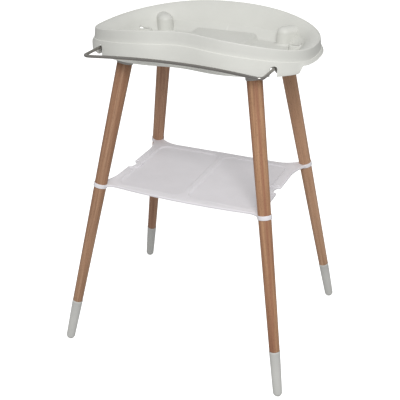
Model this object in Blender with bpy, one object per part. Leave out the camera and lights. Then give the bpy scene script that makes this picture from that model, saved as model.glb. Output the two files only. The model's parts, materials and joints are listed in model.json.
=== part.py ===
"""Changing table: a kidney-shaped plastic tray on four splayed beech legs.

Metres, +Z up, +X to the right of the person who stands in front, -Y towards them.
The origin is on the floor, midway between the legs.
"""
import math

import bmesh
import bpy
from mathutils import Matrix, Vector

# ---- driving dimensions -------------------------------------------------------------------
SURFACE_Z = 0.900            # top of the raised surface that the mat or bath rests on
FOOT_X, FOOT_Y = 0.339, 0.277  # where a leg's axis meets the floor
SPLAY_X, SPLAY_Y = 0.1778, 0.1751  # how far the axis leans in for each metre of height
GAP = 0.0003                 # clearance between neighbouring pieces
SEAM_GAP = 0.0008            # clearance along the curved seam between tray and skirt

# ---- tray outline ------------------------------------------------------------------------
RING_POINTS = 80             # points round the tray
MIDDLE_Y = -0.0125           # the tray is widest here
FRONT_POWER = 2.45           # how square the front of each outline is
BELLY_DEPTH, BELLY_HALF_WIDTH = 0.0245, 0.087   # the hollow in the front edge
# each outline: half width, reach to the front, reach to the back, how square the back is
RIM = (0.3105, 0.1840, 0.2165, 2.5)
CREASE = (0.2640, 0.1610, 0.1780, 3.2)
WELL = (0.2490, 0.1435, 0.1500, 3.2)
RIM_Z, RIM_DROP = 0.973, 0.0385    # rim height at the middle, and how far it dips at the ends
STEP_Z, STEP_DROP = 0.9395, 0.0315  # the same for the seam between tray and skirt
STEP_GROW = 0.003            # how far the wall has spread out by then
WALL, WALL_BULGE = 0.003, 0.006     # thickness, and how far the wall stands proud of a straight slope
WELL_Z = SURFACE_Z - 0.012         # floor of the wells either side of the raised surface
CREASE_Z = 0.913                   # where the shallow slope round the floor meets the steep wall
PLATEAU_HALF_WIDTH, PLATEAU_SLOPE = 0.090, 0.014   # to its upper edge, and on to its foot
PLATEAU_FRONT_Y, PLATEAU_BACK_Y = -0.118, 0.128    # how far the hollow under it reaches
BOLSTER_X, BOLSTER_Y, BOLSTER_RADIUS, BOLSTER_STEPS = 0.183, 0.125, 0.0235, 12
BOLSTER_BEARING = math.radians(53)   # which way it runs back into the corner, from +X
BOLSTER_TOP, BOLSTER_SQUASH, BOLSTER_REACH = 0.936, 0.75, 0.036   # height, dome, reach back to the wall
BOLSTER_TAPER = 0.92         # its radius below the dome, as a share of the radius at its foot
SLOT_X, SLOT_Y = 0.230, 0.082
SLOT_HALF_LENGTH, SLOT_RADIUS = 0.0155, 0.0070
PAD_HALF_LENGTH, PAD_RADIUS = 0.0205, 0.0110
SLOT_LOW, SLOT_HIGH = 0.876, 0.912  # heights the slots are cut between
SKIRT_FRONT_Z = 0.882        # its lower edge across the front
SKIRT_LIP = 0.0097           # depth of the skirt at the sides and back
SKIRT_TURN_Y, SKIRT_TURN = -0.108, 0.015   # where its lower edge sweeps up, and over what distance
SKIRT_FLARE = 0.0045         # how far the skirt spreads towards its lower edge
LEDGE = 0.002                # how far the skirt stands out past the tray wall
FLANGE_WIDTH = 0.008

# ---- legs --------------------------------------------------------------------------------
LEAN = math.hypot(SPLAY_X, SPLAY_Y)
ALONG = math.hypot(1.0, LEAN)      # length along the leg for each metre of height
LEG_RADIUS_FLOOR, LEG_TAPER = 0.0136, 0.00835
LEG_SIDES, FASTENER_SIDES = 24, 16
LEG_TOP = 0.9004             # along the axis, from the floor
SLEEVE_TOP = 0.138
TENON_END = 0.030
TENON_RADIUS, TENON_STEP = 0.0109, 0.0013
SLEEVE_RADIUS, FOOT_RADIUS = 0.0153, 0.0130
SOCKET_BOTTOM, SOCKET_TOP, SOCKET_PLATE = 0.8853, 0.9037, 0.003
SOCKET_RADIUS = 0.0232
BOSS_BOTTOM, BOSS_RADIUS = 0.9040, 0.026
BOSS_TOP = 0.930
RECESS_BOTTOM, RECESS_RADIUS = 0.9075, 0.0115
FRONT_RECESS_TOP, BACK_RECESS_TOP = 0.935, 0.9215
BOLT_RADIUS, BOLT_END = 0.004, 0.872
BOLT_HEAD_RADIUS, BOLT_HEAD = 0.0070, 0.0045
WASHER_RADIUS, WASHER = 0.0105, 0.0015
INSERT_RADIUS, INSERT_LENGTH = 0.0065, 0.025

# ---- shelf -------------------------------------------------------------------------------
SHELF_TOP, SHELF_BOTTOM, SHELF_FLOOR = 0.5105, 0.5030, 0.5065
RING_HEIGHT, RING_WALL = 0.012, 0.0022
SHELF_RING_Z = 0.5080
COLLAR_SIDES, BORE_SIDES = 30, 32
POCKET_X, POCKET_Y, POCKET_CORNER = (0.0065, 0.2085), (-0.166, 0.140), 0.030
TAB_X, TAB_Y, TAB_OUTER, TAB_INNER = 0.2290, -0.025, 0.0290, 0.0245

# ---- towel rail --------------------------------------------------------------------------
RAIL_RADIUS = 0.004
RAIL_Z = 0.902
RAIL_ARM_X = 0.245
RAIL_CENTRE_Y, RAIL_BOW = -0.206, 0.034
RAIL_PIVOT_Y, RAIL_PIVOT_Z = -0.132, 0.889
RAIL_PIN_END = 0.261
BUSH_INNER_X, BUSH_OUTER_X, BUSH_RADIUS = 0.2502, 0.2585, 0.0062
LUG_INNER_X, LUG_OUTER_X = 0.2498, 0.2590
LUG_BOTTOM_Z, LUG_TOP_Z, LUG_BACK_Y = 0.8805, 0.8980, -0.1235
LUG_SLOPE = 0.010            # the front of a lug slopes back over this height
NOTCH_INNER_X, NOTCH_OUTER_X, NOTCH_TOP_Z = 0.2360, 0.2520, 0.9085
NOTCH_LOW_Z = 0.860

# ---- colours: red, green, blue, roughness, metallic ----------------------------------------
TRAY_WHITE = (0.665, 0.668, 0.632, 0.42, 0.0)
SKIRT_WHITE = (0.660, 0.665, 0.628, 0.42, 0.0)
SHELF_WHITE = (0.640, 0.622, 0.645, 0.45, 0.0)
SOCKET_GREY = (0.380, 0.372, 0.350, 0.48, 0.0)
FOOT_WHITE = (0.560, 0.560, 0.535, 0.45, 0.0)
BEECH = (0.400, 0.235, 0.145, 0.55, 0.0)
STEEL = (0.360, 0.335, 0.315, 0.30, 1.0)
ZINC = (0.520, 0.520, 0.500, 0.35, 1.0)
BRASS = (0.620, 0.480, 0.250, 0.35, 1.0)
NYLON = (0.250, 0.250, 0.245, 0.50, 0.0)

CORNERS = [("front_left", -1, -1), ("front_right", 1, -1), ("back_left", -1, 1), ("back_right", 1, 1)]


# ---- helpers -----------------------------------------------------------------------------
def clear_scene():
    for item in list(bpy.data.objects):
        bpy.data.objects.remove(item, do_unlink=True)


def make_material(name, look):
    red, green, blue, roughness, metallic = look
    material = bpy.data.materials.new(name)
    material.use_nodes = True
    shader = material.node_tree.nodes["Principled BSDF"]
    shader.inputs["Base Color"].default_value = (red, green, blue, 1.0)
    shader.inputs["Roughness"].default_value = roughness
    shader.inputs["Metallic"].default_value = metallic
    material.diffuse_color = (red, green, blue, 1.0)
    return material


def add_object(name, bm, look=None, place=None):
    """Turn a bmesh into an object with its own material, its faces pointing out."""
    bmesh.ops.recalc_face_normals(bm, faces=bm.faces)
    mesh = bpy.data.meshes.new(name)
    bm.to_mesh(mesh)
    bm.free()
    item = bpy.data.objects.new(name, mesh)
    bpy.context.scene.collection.objects.link(item)
    if place is not None:
        item.matrix_world = place
    if look is not None:
        mesh.materials.append(make_material(name, look))
        mesh.shade_smooth()
        mesh.set_sharp_from_angle(angle=math.radians(32))
    return item


def combine(item, tools, operation):
    """Cut or join with each tool in turn, then take the tool out of the scene."""
    for tool in tools:
        step = item.modifiers.new("combine", "BOOLEAN")
        step.operation = operation
        step.solver = "EXACT"
        step.object = tool
        bpy.context.view_layer.update()
        graph = bpy.context.evaluated_depsgraph_get()
        result = bpy.data.meshes.new_from_object(item.evaluated_get(graph))
        item.modifiers.clear()
        old = item.data
        item.data = result
        bpy.data.meshes.remove(old)
        bpy.data.objects.remove(tool, do_unlink=True)
    return item


def loft(rings, closed_ends=True, closed_loop=False):
    """Skin a list of equal rings of points."""
    bm = bmesh.new()
    rows = [[bm.verts.new(point) for point in ring] for ring in rings]
    pairs = list(zip(rows, rows[1:]))
    if closed_loop:
        pairs.append((rows[-1], rows[0]))
    for low, high in pairs:
        count = len(low)
        for index in range(count):
            after = (index + 1) % count
            bm.faces.new((low[index], low[after], high[after], high[index]))
    if closed_ends and not closed_loop:
        bm.faces.new(rows[0])
        bm.faces.new(rows[-1])
    return bm


def turned(profile, sides=LEG_SIDES):
    """Turn a closed (radius, height) profile about Z. A radius of zero is a point on the axis."""
    bm = bmesh.new()
    rows = []
    for radius, height in profile:
        if radius == 0.0:
            rows.append([bm.verts.new((0.0, 0.0, height))])
            continue
        angles = [2.0 * math.pi * index / sides for index in range(sides)]
        rows.append([bm.verts.new((radius * math.cos(a), radius * math.sin(a), height)) for a in angles])
    solid_core = len(rows[0]) == 1 and len(rows[-1]) == 1
    pairs = list(zip(rows, rows[1:]))
    if not solid_core:
        pairs.append((rows[-1], rows[0]))
    for low, high in pairs:
        for index in range(sides):
            after = (index + 1) % sides
            corners = (low[index % len(low)], low[after % len(low)],
                       high[after % len(high)], high[index % len(high)])
            distinct = list(dict.fromkeys(corners))
            if len(distinct) > 2:
                bm.faces.new(distinct)
    return bm


def prism(outline, bottom, top):
    """Extrude a flat outline of (x, y) points from one height to another."""
    return loft([[(x, y, bottom) for x, y in outline], [(x, y, top) for x, y in outline]])


def bezier(start, control, end, steps):
    """Points of a quadratic curve, without its last point."""
    points = []
    for index in range(steps):
        t = index / steps
        a, b, c = (1 - t) ** 2, 2 * t * (1 - t), t * t
        points.append(tuple(a * p + b * q + c * r for p, q, r in zip(start, control, end)))
    return points


def leg_place(side_x, side_y):
    """The frame of one leg: origin where its axis meets the floor, local Z up along the axis."""
    axis = Vector((-side_x * SPLAY_X, -side_y * SPLAY_Y, 1.0)).normalized()
    turn = Vector((0, 0, 1)).rotation_difference(axis).to_matrix().to_4x4()
    return Matrix.Translation((side_x * FOOT_X, side_y * FOOT_Y, 0.0)) @ turn


def leg_point(side_x, side_y, height):
    return Vector((side_x * (FOOT_X - SPLAY_X * height), side_y * (FOOT_Y - SPLAY_Y * height), height))


def leg_radius(along):
    return LEG_RADIUS_FLOOR + LEG_TAPER * along


# ---- tray and skirt ------------------------------------------------------------------------
def outline(grow=0.0, shape=RIM):
    """Points (x, y) round a kidney outline, grown outwards by a distance at every side."""
    half_width, front, back, back_power = shape
    points = []
    for index in range(RING_POINTS):
        angle = 2.0 * math.pi * index / RING_POINTS
        c, s = math.cos(angle), math.sin(angle)
        depth, power = (back, back_power) if s >= 0 else (front, FRONT_POWER)
        reach = (abs(c / (half_width + grow)) ** power + abs(s / (depth + grow)) ** power) ** (-1.0 / power)
        x, y = reach * c, MIDDLE_Y + reach * s
        if s < 0:
            y += BELLY_DEPTH * math.exp(-((x / BELLY_HALF_WIDTH) ** 2))
        points.append((x, y))
    return points


def end_share(x):
    """0 at the middle of the tray and 1 at its two ends."""
    return min(1.0, abs(x) / RIM[0]) ** 2


def saddle(points, middle, drop):
    """Lift an outline to a height that dips towards its two ends."""
    return [(x, y, middle - drop * end_share(x)) for x, y in points]


def flat(points, height):
    return [(x, y, height) for x, y in points]


def blend_rings(first, second, share, bulge=0.0):
    return [tuple(a + (b - a) * share + (bulge if axis == 2 else 0.0) for axis, (a, b) in enumerate(zip(p, q)))
            for p, q in zip(first, second)]


def smoothstep(value):
    value = max(0.0, min(1.0, value))
    return value * value * (3.0 - 2.0 * value)


def tray_rings():
    """Rings from the middle of the floor, over the rim and down, then back under the floor."""
    well_edge = flat(outline(0.0, WELL), WELL_Z)
    crease_ring = flat(outline(0.0, CREASE), CREASE_Z)
    rim_inner = saddle(outline(-0.0042), RIM_Z - 0.0022, RIM_DROP)
    hollow_top = saddle(outline(-0.0020), RIM_Z - 0.0120, RIM_DROP)
    crease_under = flat(outline(0.0028, CREASE), CREASE_Z - 0.0020)
    return [
        flat(outline(-0.0030, WELL), WELL_Z),
        blend_rings(well_edge, crease_ring, 0.06),
        blend_rings(well_edge, crease_ring, 0.90),
        blend_rings(crease_ring, rim_inner, 0.05),
        blend_rings(crease_ring, rim_inner, 0.35, WALL_BULGE),
        blend_rings(crease_ring, rim_inner, 0.70, WALL_BULGE),
        rim_inner,
        saddle(outline(-0.0036), RIM_Z - 0.0007, RIM_DROP),
        saddle(outline(-0.0021), RIM_Z, RIM_DROP),
        saddle(outline(-0.0006), RIM_Z - 0.0007, RIM_DROP),
        saddle(outline(0.0), RIM_Z - 0.0022, RIM_DROP),
        saddle(outline(STEP_GROW), STEP_Z, STEP_DROP),
        saddle(outline(STEP_GROW - WALL), STEP_Z, STEP_DROP),
        hollow_top,
        blend_rings(hollow_top, crease_under, 0.40, WALL_BULGE),
        crease_under,
        flat(outline(0.0015, WELL), WELL_Z - WALL),
    ]


def inside_volume():
    """What the tray holds, reaching half way into its floor and walls."""
    crease_ring = flat(outline(0.0014, CREASE), CREASE_Z - 0.0010)
    wall_top = saddle(outline(-0.0034), RIM_Z - 0.0060, RIM_DROP)
    return add_object("inside", loft([
        flat(outline(0.0007, WELL), WELL_Z - 0.5 * WALL),
        crease_ring,
        blend_rings(crease_ring, wall_top, 0.40, WALL_BULGE),
        wall_top,
    ]))


def make_tray():
    tray = add_object("tray_basin", loft(tray_rings()), TRAY_WHITE)
    inside, cut = [plateau()], [plateau_hollow()]
    for side in (-1, 1):
        inside.append(bolster(side))
        inside.append(slot_prism(side, PAD_HALF_LENGTH, PAD_RADIUS, WELL_Z - 0.5 * WALL, SURFACE_Z))
        cut.append(slot_prism(side, PAD_HALF_LENGTH - WALL, PAD_RADIUS - WALL, SLOT_LOW, SURFACE_Z - WALL))
    join = [combine(add_object("join", bm), [inside_volume()], "INTERSECT") for bm in inside]
    for _, side_x, side_y in CORNERS:
        place = leg_place(side_x, side_y)
        boss, seat = leg_boss(), bolt_seat(FRONT_RECESS_TOP if side_y < 0 else BACK_RECESS_TOP)
        for bm in (boss, seat):
            bmesh.ops.transform(bm, matrix=place, verts=bm.verts)
        join.append(combine(add_object("join", boss), [inside_volume()], "DIFFERENCE"))
        cut.append(seat)
    cut += [slot_prism(side, SLOT_HALF_LENGTH, SLOT_RADIUS, SLOT_LOW, SLOT_HIGH) for side in (-1, 1)]
    combine(tray, join, "UNION")
    combine(tray, [add_object("cut", bm) for bm in cut], "DIFFERENCE")
    return finish(tray)


def leg_boss():
    """The round block under the floor that a leg's socket is clamped against."""
    return turned([(0.0, BOSS_BOTTOM), (BOSS_RADIUS, BOSS_BOTTOM), (BOSS_RADIUS, BOSS_TOP), (0.0, BOSS_TOP)])


def bolt_seat(top):
    """The bolt's hole and the round recess for its head, open above at the front and closed at the back."""
    hole = BOLT_RADIUS + GAP
    return turned([(0.0, SOCKET_BOTTOM), (hole, SOCKET_BOTTOM), (hole, RECESS_BOTTOM),
                   (RECESS_RADIUS, RECESS_BOTTOM), (RECESS_RADIUS, top), (0.0, top)])


def plateau():
    """The raised surface across the middle of the tray, with sloping sides."""
    half, slope, low = PLATEAU_HALF_WIDTH, PLATEAU_SLOPE, WELL_Z - 0.002
    sides = [(half + slope, low), (half, SURFACE_Z), (-half, SURFACE_Z), (-half - slope, low)]
    return loft([[(x, y, z) for x, z in sides] for y in (-RIM[2], RIM[2])])


def plateau_hollow():
    """The space under the raised surface, so that its wall is as thin as the floor."""
    half, slope, low = PLATEAU_HALF_WIDTH - 0.004, PLATEAU_SLOPE, SLOT_LOW
    sides = [(half + slope, low), (half, SURFACE_Z - WALL), (-half, SURFACE_Z - WALL), (-half - slope, low)]
    return loft([[(x, y, z) for x, z in sides] for y in (PLATEAU_FRONT_Y, PLATEAU_BACK_Y)])


def bolster(side):
    """A round-topped column that runs back into the wall, over the end of a back leg."""
    upper = BOLSTER_RADIUS * BOLSTER_TAPER
    crown = BOLSTER_TOP - upper * BOLSTER_SQUASH
    levels = [(BOLSTER_RADIUS, WELL_Z - WALL), (upper, crown)]
    for step in (22, 44, 64, 82):
        angle = math.radians(step)
        levels.append((upper * math.cos(angle), crown + BOLSTER_SQUASH * upper * math.sin(angle)))
    rings = []
    for radius, height in levels:
        points = []
        for index in range(BOLSTER_STEPS + 1):
            angle = BOLSTER_BEARING + math.pi * (0.5 + index / BOLSTER_STEPS)
            points.append((BOLSTER_X + radius * math.cos(angle), BOLSTER_Y + radius * math.sin(angle)))
        back_x = BOLSTER_REACH * math.cos(BOLSTER_BEARING)
        back_y = BOLSTER_REACH * math.sin(BOLSTER_BEARING)
        points += [(x + back_x, y + back_y) for x, y in (points[-1], points[0])]
        rings.append(flat([(side * x, y) for x, y in points], height))
    return loft(rings)


def slot_prism(side, half_length, radius, low, high):
    """A round-ended block at one of the two slots: the pad, its hollow or the slot itself."""
    points = []
    for end in (1, -1):
        for index in range(9):
            angle = math.radians(-90 * end + 22.5 * index)
            middle = side * SLOT_X + end * (half_length - radius)
            points.append((middle + radius * math.cos(angle), SLOT_Y + radius * math.sin(angle)))
    return prism(points, low, high)


def finish(item):
    """Shade a combined piece smooth and keep its real edges sharp."""
    item.data.shade_smooth()
    item.data.set_sharp_from_angle(angle=math.radians(32))
    return item


def skirt_bottom(x, y):
    """Height of the skirt's lower edge: deep across the front, a shallow lip elsewhere."""
    lip = STEP_Z - STEP_DROP * end_share(x) - SKIRT_LIP
    return SKIRT_FRONT_Z + (lip - SKIRT_FRONT_Z) * smoothstep((y - SKIRT_TURN_Y) / SKIRT_TURN)


def skirt_ring(grow, share):
    """A ring of the skirt wall. A share of 0 is its top edge and 1 is its bottom edge."""
    ring = []
    for x, y in outline(grow):
        top = STEP_Z - SEAM_GAP - STEP_DROP * end_share(x)
        ring.append((x, y, top + (skirt_bottom(x, y) - top) * share))
    return ring


def make_skirt():
    outer = STEP_GROW + LEDGE
    rings = [
        skirt_ring(outer - 0.0010, 0.0),
        skirt_ring(outer, 0.03),
        skirt_ring(outer + SKIRT_FLARE * 0.5, 0.5),
        skirt_ring(outer + SKIRT_FLARE, 0.97),
        skirt_ring(outer + SKIRT_FLARE - 0.0010, 1.0),
        skirt_ring(outer + SKIRT_FLARE - WALL, 1.0),
        skirt_ring(outer + SKIRT_FLARE * 0.5 - WALL, 0.5),
        [(x, y, z - 0.0025) for x, y, z in skirt_ring(outer - WALL, 0.0)],
        [(x, y, z - 0.0025) for x, y, z in skirt_ring(outer - FLANGE_WIDTH, 0.0)],
        skirt_ring(outer - FLANGE_WIDTH, 0.0),
    ]
    skirt = add_object("tray_skirt", loft(rings, closed_loop=True), SKIRT_WHITE)
    lugs = [add_object("join", lug(side)) for side in (-1, 1)]
    combine(skirt, lugs, "UNION")
    cutters = []
    for side in (-1, 1):
        radius, inner, outer_end = BUSH_RADIUS + GAP, NOTCH_INNER_X + RAIL_RADIUS, LUG_OUTER_X + RAIL_RADIUS
        hole = turned([(0.0, inner), (radius, inner), (radius, outer_end), (0.0, outer_end)], FASTENER_SIDES)
        turn = Matrix.Rotation(math.radians(90), 4, "Y")
        shift = Matrix.Translation((0.0, RAIL_PIVOT_Y, RAIL_PIVOT_Z))
        mirror = Matrix.Rotation(math.pi if side < 0 else 0.0, 4, "Z")
        bmesh.ops.transform(hole, matrix=shift @ mirror @ turn, verts=hole.verts)
        cutters.append(hole)
        cutters.append(notch(side))
    combine(skirt, [add_object("cut", bm) for bm in cutters], "DIFFERENCE")
    return finish(skirt)


def front_edge(x, grow):
    """The y of the front outline at one x."""
    share = (abs(x) / (RIM[0] + grow)) ** FRONT_POWER
    depth = (RIM[1] + grow) * max(0.0, 1.0 - share) ** (1.0 / FRONT_POWER)
    return MIDDLE_Y - depth + BELLY_DEPTH * math.exp(-((x / BELLY_HALF_WIDTH) ** 2))


def lug(side):
    """A block behind the skirt's wall that carries the bush of the towel rail."""
    rings = []
    for height, grow in ((LUG_BOTTOM_Z + LUG_SLOPE, 0.0070), (LUG_TOP_Z, 0.0060)):
        xs = [LUG_INNER_X, 0.5 * (LUG_INNER_X + LUG_OUTER_X), LUG_OUTER_X]
        front = [(side * x, front_edge(x, grow), height) for x in xs]
        rings.append(front + [(side * x, LUG_BACK_Y, height) for x in (LUG_OUTER_X, LUG_INNER_X)])
    lowest = [(x, y if y == LUG_BACK_Y else y + LUG_SLOPE * 0.35, LUG_BOTTOM_Z) for x, y, _ in rings[0]]
    return loft([lowest] + rings)


def notch(side):
    """The arch through the skirt that the rail's arm passes and swings down through."""
    middle = 0.5 * (NOTCH_INNER_X + NOTCH_OUTER_X)
    radius = 0.5 * (NOTCH_OUTER_X - NOTCH_INNER_X)
    spring = NOTCH_TOP_Z - radius
    profile = [(middle + radius, NOTCH_LOW_Z), (middle + radius, spring)]
    for step in range(1, 8):
        angle = math.pi * step / 8
        profile.append((middle + radius * math.cos(angle), spring + radius * math.sin(angle)))
    profile += [(middle - radius, spring), (middle - radius, NOTCH_LOW_Z)]
    return loft([[(side * x, y, z) for x, z in profile] for y in (LUG_BACK_Y - 0.050, LUG_BACK_Y + 0.006)])


# ---- legs and what holds them --------------------------------------------------------------
def make_leg(name, side_x, side_y):
    tenon_top = SLEEVE_TOP + GAP
    bore_bottom = LEG_TOP - INSERT_LENGTH - 0.008
    profile = [
        (0.0, TENON_END),
        (TENON_RADIUS - 0.001, TENON_END),
        (TENON_RADIUS, TENON_END + 0.001),
        (TENON_RADIUS + TENON_STEP, tenon_top),
        (leg_radius(tenon_top) - 0.0005, tenon_top),
        (leg_radius(tenon_top), tenon_top + 0.0005),
    ]
    profile += [
        (leg_radius(LEG_TOP), LEG_TOP - 0.001),
        (leg_radius(LEG_TOP) - 0.001, LEG_TOP),
        (INSERT_RADIUS + GAP, LEG_TOP),
        (INSERT_RADIUS + GAP, bore_bottom),
        (0.0, bore_bottom),
    ]
    add_object("leg_" + name, turned(profile, LEG_SIDES), BEECH, leg_place(side_x, side_y))


def make_foot_sleeve(name, side_x, side_y):
    centre = FOOT_RADIUS * ALONG
    profile = [(0.0, centre - FOOT_RADIUS)]
    for step in (22, 45, 67):
        angle = math.radians(step)
        profile.append((FOOT_RADIUS * math.sin(angle), centre - FOOT_RADIUS * math.cos(angle)))
    profile += [
        (FOOT_RADIUS, centre),
        (0.5 * (FOOT_RADIUS + SLEEVE_RADIUS), 0.070),
        (SLEEVE_RADIUS, SLEEVE_TOP - 0.005),
        (SLEEVE_RADIUS + 0.0004, SLEEVE_TOP - 0.0035),
        (SLEEVE_RADIUS + 0.0004, SLEEVE_TOP - 0.0008),
        (SLEEVE_RADIUS - 0.0004, SLEEVE_TOP),
        (TENON_RADIUS + TENON_STEP + GAP, SLEEVE_TOP),
        (TENON_RADIUS + GAP, TENON_END - GAP),
        (0.0, TENON_END - GAP),
    ]
    add_object("foot_sleeve_" + name, turned(profile, LEG_SIDES), FOOT_WHITE, leg_place(side_x, side_y))


def make_socket(name, side_x, side_y):
    inside = leg_radius(SOCKET_BOTTOM) + GAP
    inside_top = leg_radius(LEG_TOP) + GAP
    plate = SOCKET_TOP - SOCKET_PLATE
    profile = [
        (inside, SOCKET_BOTTOM),
        (SOCKET_RADIUS - 0.001, SOCKET_BOTTOM),
        (SOCKET_RADIUS, SOCKET_BOTTOM + 0.001),
        (SOCKET_RADIUS + 0.0008, SOCKET_TOP),
        (BOLT_RADIUS + GAP, SOCKET_TOP),
        (BOLT_RADIUS + GAP, plate),
        (inside_top, plate),
    ]
    add_object("leg_socket_" + name, turned(profile, LEG_SIDES), SOCKET_GREY, leg_place(side_x, side_y))


def make_fasteners(name, side_x, side_y):
    place = leg_place(side_x, side_y)
    under_head = RECESS_BOTTOM + GAP + WASHER + GAP
    head_top = under_head + BOLT_HEAD
    hex_depth = 0.0025
    bolt = [
        (0.0, BOLT_END),
        (BOLT_RADIUS - 0.0006, BOLT_END),
        (BOLT_RADIUS, BOLT_END + 0.001),
        (BOLT_RADIUS, under_head),
        (BOLT_HEAD_RADIUS, under_head),
        (BOLT_HEAD_RADIUS, head_top - 0.001),
        (BOLT_HEAD_RADIUS - 0.0012, head_top),
        (0.0028, head_top),
        (0.0028, head_top - hex_depth),
        (0.0, head_top - hex_depth),
    ]
    add_object("leg_bolt_" + name, turned(bolt, FASTENER_SIDES), ZINC, place)
    low = RECESS_BOTTOM + GAP
    washer = [(BOLT_RADIUS + GAP, low), (WASHER_RADIUS, low), (WASHER_RADIUS, low + WASHER),
              (BOLT_RADIUS + GAP, low + WASHER)]
    add_object("washer_" + name, turned(washer, FASTENER_SIDES), ZINC, place)
    top = LEG_TOP - GAP
    insert = [(BOLT_RADIUS + GAP, top - INSERT_LENGTH), (INSERT_RADIUS, top - INSERT_LENGTH),
              (INSERT_RADIUS, top), (BOLT_RADIUS + GAP, top)]
    add_object("leg_insert_" + name, turned(insert, FASTENER_SIDES), BRASS, place)


# ---- shelf ---------------------------------------------------------------------------------
def shelf_outline():
    """The shelf's edge: bowed front, straight sides, and arms that flare out to the four legs."""
    front_ring = leg_point(1, -1, SHELF_RING_Z)
    back_ring = leg_point(1, 1, SHELF_RING_Z)
    right = []
    right += bezier((0.0, -0.195), (0.110, -0.194), (0.196, -0.184), 5)
    right += bezier((0.196, -0.184), (0.222, -0.180), (front_ring.x - 0.009, front_ring.y - 0.014), 4)
    right += [(front_ring.x + 0.006, front_ring.y - 0.004)]
    right += bezier((front_ring.x + 0.015, front_ring.y + 0.006), (0.236, -0.150), (0.2345, -0.100), 5)
    right += [(0.2340, -0.048)]
    right += bezier((0.2330, -0.044), (0.2210, -0.044), (0.2210, -0.025), 4)
    right += bezier((0.2210, -0.025), (0.2210, -0.006), (0.2330, -0.006), 4)
    right += [(0.2340, -0.002)]
    right += bezier((0.2345, 0.090), (0.2345, 0.135), (back_ring.x + 0.015, back_ring.y - 0.006), 5)
    right += [(back_ring.x + 0.006, back_ring.y + 0.004)]
    right += bezier((back_ring.x - 0.009, back_ring.y + 0.014), (0.212, 0.166), (0.170, 0.162), 5)
    right += bezier((0.170, 0.162), (0.090, 0.162), (0.0, 0.163), 3)
    right += [(0.0, 0.163)]
    left = [(-x, y) for x, y in reversed(right[1:-1])]
    return right + left


def rounded_rectangle(x_range, y_range, radius, steps=5):
    points = []
    left, right = x_range[0] + radius, x_range[1] - radius
    front, back = y_range[0] + radius, y_range[1] - radius
    corners = [(right, front, -90), (right, back, 0), (left, back, 90), (left, front, 180)]
    for x, y, start in corners:
        for index in range(steps + 1):
            angle = math.radians(start + 90.0 * index / steps)
            points.append((x + radius * math.cos(angle), y + radius * math.sin(angle)))
    return points


def make_shelf():
    edge = shelf_outline()
    inset = [(x * 0.9955, -0.016 + (y + 0.016) * 0.994) for x, y in edge]
    rings = [flat(inset, SHELF_BOTTOM), flat(edge, SHELF_BOTTOM + 0.001), flat(edge, SHELF_TOP - 0.0012),
             flat(inset, SHELF_TOP)]
    shelf = add_object("storage_shelf", loft(rings), SHELF_WHITE)
    radius_here = leg_radius(SHELF_RING_Z * ALONG)
    join, cut = [], []
    for _, side_x, side_y in CORNERS:
        place = leg_place(side_x, side_y)
        middle = SHELF_RING_Z * ALONG
        low, high = middle - 0.5 * RING_HEIGHT, middle + 0.5 * RING_HEIGHT
        outer = radius_here + RING_WALL
        collar = turned([(0.0, low), (outer - 0.0008, low), (outer, low + 0.0008), (outer, high - 0.0008),
                         (outer - 0.0008, high), (0.0, high)], COLLAR_SIDES)
        hole = turned([(0.0, low - 0.02), (leg_radius(low - 0.02) + GAP, low - 0.02),
                       (leg_radius(high + 0.02) + GAP, high + 0.02), (0.0, high + 0.02)], BORE_SIDES)
        for bm, group in ((collar, join), (hole, cut)):
            bmesh.ops.transform(bm, matrix=place, verts=bm.verts)
            group.append(bm)
    for side in (-1, 1):
        join.append(notch_tab(side))
        x_range = (POCKET_X[0], POCKET_X[1]) if side > 0 else (-POCKET_X[1], -POCKET_X[0])
        pocket = rounded_rectangle(x_range, POCKET_Y, POCKET_CORNER)
        cut.append(prism(pocket, SHELF_FLOOR, SHELF_TOP + 0.010))
    combine(shelf, [add_object("cut", bm) for bm in cut[4:]], "DIFFERENCE")
    combine(shelf, [add_object("join", bm) for bm in join], "UNION")
    combine(shelf, [add_object("cut", bm) for bm in cut[:4]], "DIFFERENCE")
    return finish(shelf)


def notch_tab(side):
    """The half-round raised rim inside each end notch of the shelf."""
    points = []
    for radius, order in ((TAB_OUTER, range(13)), (TAB_INNER, range(12, -1, -1))):
        for index in order:
            angle = math.radians(90 + 180.0 * index / 12)
            points.append((side * (TAB_X + radius * math.cos(angle)), TAB_Y + radius * math.sin(angle)))
    return prism(points, SHELF_FLOOR - 0.002, SHELF_TOP + 0.0015)


# ---- towel rail ----------------------------------------------------------------------------
def rounded_path(corners):
    """Replace each corner (point, radius) of a path with an arc of straight steps."""
    points = [Vector(corners[0][0])]
    for index in range(1, len(corners) - 1):
        before, here, after = (Vector(corners[k][0]) for k in (index - 1, index, index + 1))
        radius = corners[index][1]
        into, out = (before - here).normalized(), (after - here).normalized()
        half = 0.5 * into.angle(out)
        if radius == 0.0:
            points.append(here)
            continue
        reach = radius / math.tan(half)
        centre = here + (into + out).normalized() * (radius / math.sin(half))
        start, end = here + into * reach, here + out * reach
        first, last = start - centre, end - centre
        swing = first.angle(last)
        for step in range(6):
            share = step / 5
            turn = first * math.sin((1 - share) * swing) + last * math.sin(share * swing)
            points.append(centre + turn / math.sin(swing))
    points.append(Vector(corners[-1][0]))
    return points


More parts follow.
